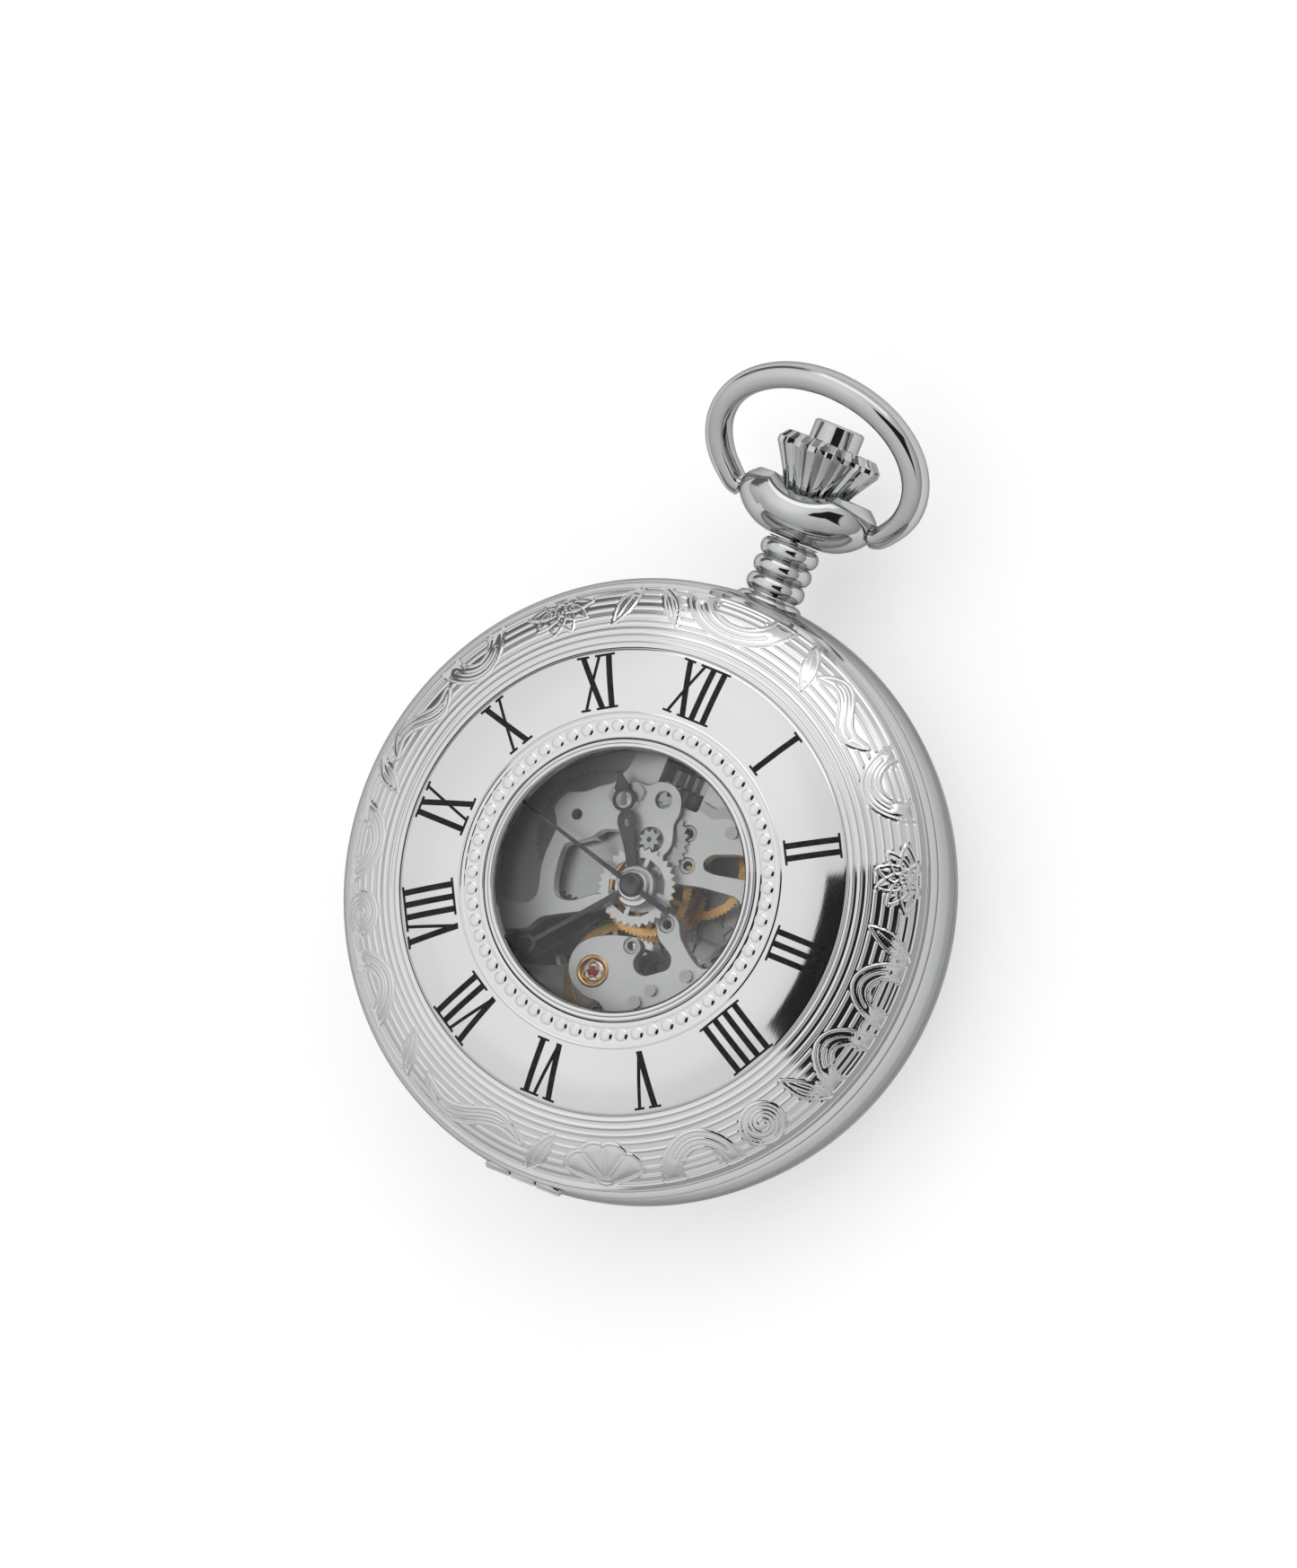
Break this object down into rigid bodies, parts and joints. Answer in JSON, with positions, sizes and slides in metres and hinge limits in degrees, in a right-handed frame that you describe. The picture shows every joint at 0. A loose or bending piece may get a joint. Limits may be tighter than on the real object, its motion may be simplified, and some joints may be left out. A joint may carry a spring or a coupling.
{
  "type": "half-hunter pocket watch",
  "caption": "Round pocket watch with a hinged lid that has a glass window, a skeleton hand-wound movement, a ribbed pendant, a fluted crown with a push button and a swinging bow.",
  "frame": {"origin": "centre of the back cover's flat face, on which the watch lies", "axes": "+Z from the back cover to the lid, +Y to 12 o'clock and the pendant, +X to 3 o'clock"},
  "size_m": [0.048, 0.066, 0.0147],
  "materials": {
    "case_steel": "mirror-polished plated case metal",
    "lid_steel": "polished and engraved lid",
    "plate": "satin rhodium-plated movement plate",
    "steel": "polished steel wheel, spring or screw",
    "blued": "dark oxidised hand",
    "brass": "gilt brass wheel",
    "dial": "silvered matt dial with printed numerals",
    "glass": "clear mineral glass"
  },
  "bodies": {
    "case": {"case_middle": "case_steel", "back_cover": "case_steel", "inner_bezel": "case_steel", "crystal": "glass", "pendant_neck": "case_steel", "bow_collar": "case_steel", "hinge_pin": "steel", "lift_spring": "steel", "movement_ring": "steel", "dial_ring": "dial", "main_plate": "plate", "barrel_bridge": "plate", "train_bridge": "plate", "balance_cock": "plate", "pallet_cock": "plate", "setting_bridge": "plate", "plate_screw_1": "steel", "plate_screw_2": "steel", "plate_screw_3": "steel", "plate_screw_4": "steel", "keyless_screw": "steel", "setting_bridge_screw": "steel", "case_screw_1": "steel", "case_screw_2": "steel", "shock_setting": "brass", "click_spring": "steel", "hairspring": "steel"},
    "lid": {"front_cover": "lid_steel", "window_bezel": "lid_steel", "window_glass": "glass"},
    "bow_ring": {"bow": "case_steel"},
    "winder": {"winding_pinion": "steel"},
    "crown_stem": {"crown": "case_steel", "winding_stem": "steel"},
    "clutch": {"sliding_pinion": "steel"},
    "button": {"push_button": "case_steel", "push_rod": "steel"},
    "lid_catch": {"lock_spring": "steel"},
    "set_lever": {"setting_lever": "steel"},
    "yoke_arm": {"yoke": "steel"},
    "crown_gear": {"crown_wheel": "steel"},
    "ratchet": {"ratchet_wheel": "steel", "barrel_arbor": "steel"},
    "pawl": {"click": "steel"},
    "barrel_drum": {"barrel": "steel", "barrel_cover": "steel", "mainspring": "steel"},
    "seconds": {"fourth_wheel": "brass", "seconds_hand": "blued"},
    "third": {"third_wheel": "brass"},
    "minutes": {"center_wheel": "brass", "cannon_pinion": "steel", "minute_hand": "blued"},
    "minute_gear": {"minute_wheel": "steel"},
    "hours": {"hour_wheel": "steel", "hour_hand": "blued"},
    "setting_gear": {"setting_wheel": "steel"},
    "escape": {"escape_wheel": "steel"},
    "pallet": {"pallet_fork": "steel"},
    "balance": {"balance_wheel": "brass"}
  },
  "joints": [
    {"name": "lid_hinge", "type": "hinge", "parent": "case", "child": "lid", "pos_m": [0, -0.0236, 0.0091], "axis": [1, 0, 0], "range_deg": [0, 100]},
    {"name": "bow_swing", "type": "hinge", "parent": "case", "child": "bow_ring", "pos_m": [0, 0.0314, 0.0066], "axis": [1, 0, 0], "range_deg": [-120, 65]},
    {"name": "crown_turn", "type": "hinge", "parent": "case", "child": "winder", "pos_m": [0, 0.009, 0.0066], "axis": [0, 1, 0], "continuous": true},
    {"name": "crown_pull", "type": "slide", "parent": "winder", "child": "crown_stem", "axis": [0, 1, 0], "range_m": [0, 0.001]},
    {"name": "clutch_slide", "type": "slide", "parent": "winder", "child": "clutch", "axis": [0, 1, 0], "range_m": [-0.001, 0]},
    {"name": "button_press", "type": "slide", "parent": "crown_stem", "child": "button", "axis": [0, -1, 0], "range_m": [0, 0.0008], "stiffness_N_per_m": 500},
    {"name": "catch_flex", "type": "hinge", "parent": "case", "child": "lid_catch", "pos_m": [0.0132, 0.0158, 0.0084], "axis": [0, 0, 1], "range_deg": [0, 3]},
    {"name": "setting_lever_turn", "type": "hinge", "parent": "case", "child": "set_lever", "pos_m": [0.0033, 0.0097, 0.00939], "axis": [0, 0, 1], "range_deg": [-20, 0]},
    {"name": "yoke_turn", "type": "hinge", "parent": "case", "child": "yoke_arm", "pos_m": [0.0051, 0.0078, 0.00939], "axis": [0, 0, 1], "range_deg": [0, 16]},
    {"name": "crown_wheel_turn", "type": "hinge", "parent": "case", "child": "crown_gear", "pos_m": [0, 0.0064, 0.0046], "axis": [0, 0, 1], "continuous": true},
    {"name": "ratchet_turn", "type": "hinge", "parent": "case", "child": "ratchet", "pos_m": [-0.00539, 0.00251, 0.0046], "axis": [0, 0, 1], "continuous": true},
    {"name": "click_pivot", "type": "hinge", "parent": "case", "child": "pawl", "pos_m": [-0.0116, 0.0054, 0.0046], "axis": [0, 0, 1], "range_deg": [0, 8]},
    {"name": "barrel_turn", "type": "hinge", "parent": "case", "child": "barrel_drum", "pos_m": [-0.00539, 0.00251, 0.0066], "axis": [0, 0, -1], "continuous": true},
    {"name": "seconds_turn", "type": "hinge", "parent": "case", "child": "seconds", "pos_m": [0, 0, 0.0042], "axis": [0, 0, -1], "continuous": true},
    {"name": "third_turn", "type": "hinge", "parent": "case", "child": "third", "pos_m": [0.0028, 0.0028, 0.005], "axis": [0, 0, -1], "continuous": true},
    {"name": "minutes_turn", "type": "hinge", "parent": "case", "child": "minutes", "pos_m": [0, 0, 0.0075], "axis": [0, 0, -1], "continuous": true},
    {"name": "minute_wheel_turn", "type": "hinge", "parent": "case", "child": "minute_gear", "pos_m": [-0.0005, 0.0037, 0.0094], "axis": [0, 0, -1], "continuous": true},
    {"name": "hours_turn", "type": "hinge", "parent": "case", "child": "hours", "pos_m": [0, 0, 0.0101], "axis": [0, 0, -1], "continuous": true},
    {"name": "setting_wheel_turn", "type": "hinge", "parent": "case", "child": "setting_gear", "pos_m": [-0.00062, 0.00743, 0.0094], "axis": [0, 0, -1], "continuous": true},
    {"name": "escape_turn", "type": "hinge", "parent": "case", "child": "escape", "pos_m": [0.0035, -0.00186, 0.0033], "axis": [0, 0, -1], "continuous": true},
    {"name": "pallet_rock", "type": "hinge", "parent": "case", "child": "pallet", "pos_m": [0.00126, -0.00427, 0.0033], "axis": [0, 0, 1], "range_deg": [-4, 4]},
    {"name": "balance_swing", "type": "hinge", "parent": "case", "child": "balance", "pos_m": [-0.0011, -0.0072, 0.00235], "axis": [0, 0, 1], "range_deg": [-150, 150], "stiffness_Nm_per_rad": 0.00000025}
  ],
  "couplings": [
    {"joint": "third_turn", "follows": "seconds_turn", "ratio": -0.13333},
    {"joint": "minutes_turn", "follows": "seconds_turn", "ratio": 0.016667},
    {"joint": "minute_wheel_turn", "follows": "seconds_turn", "ratio": -0.0055556},
    {"joint": "hours_turn", "follows": "seconds_turn", "ratio": 0.0013889},
    {"joint": "setting_wheel_turn", "follows": "seconds_turn", "ratio": 0.016667},
    {"joint": "barrel_turn", "follows": "seconds_turn", "ratio": -0.0027778},
    {"joint": "escape_turn", "follows": "seconds_turn", "ratio": -10},
    {"joint": "crown_wheel_turn", "follows": "crown_turn", "ratio": 0.5},
    {"joint": "ratchet_turn", "follows": "crown_turn", "ratio": -0.25},
    {"joint": "clutch_slide", "follows": "crown_pull", "ratio": -1},
    {"joint": "setting_lever_turn", "follows": "crown_pull", "rad_per_m": -330},
    {"joint": "yoke_turn", "follows": "crown_pull", "rad_per_m": 260},
    {"joint": "catch_flex", "follows": "button_press", "rad_per_m": 60}
  ]
}
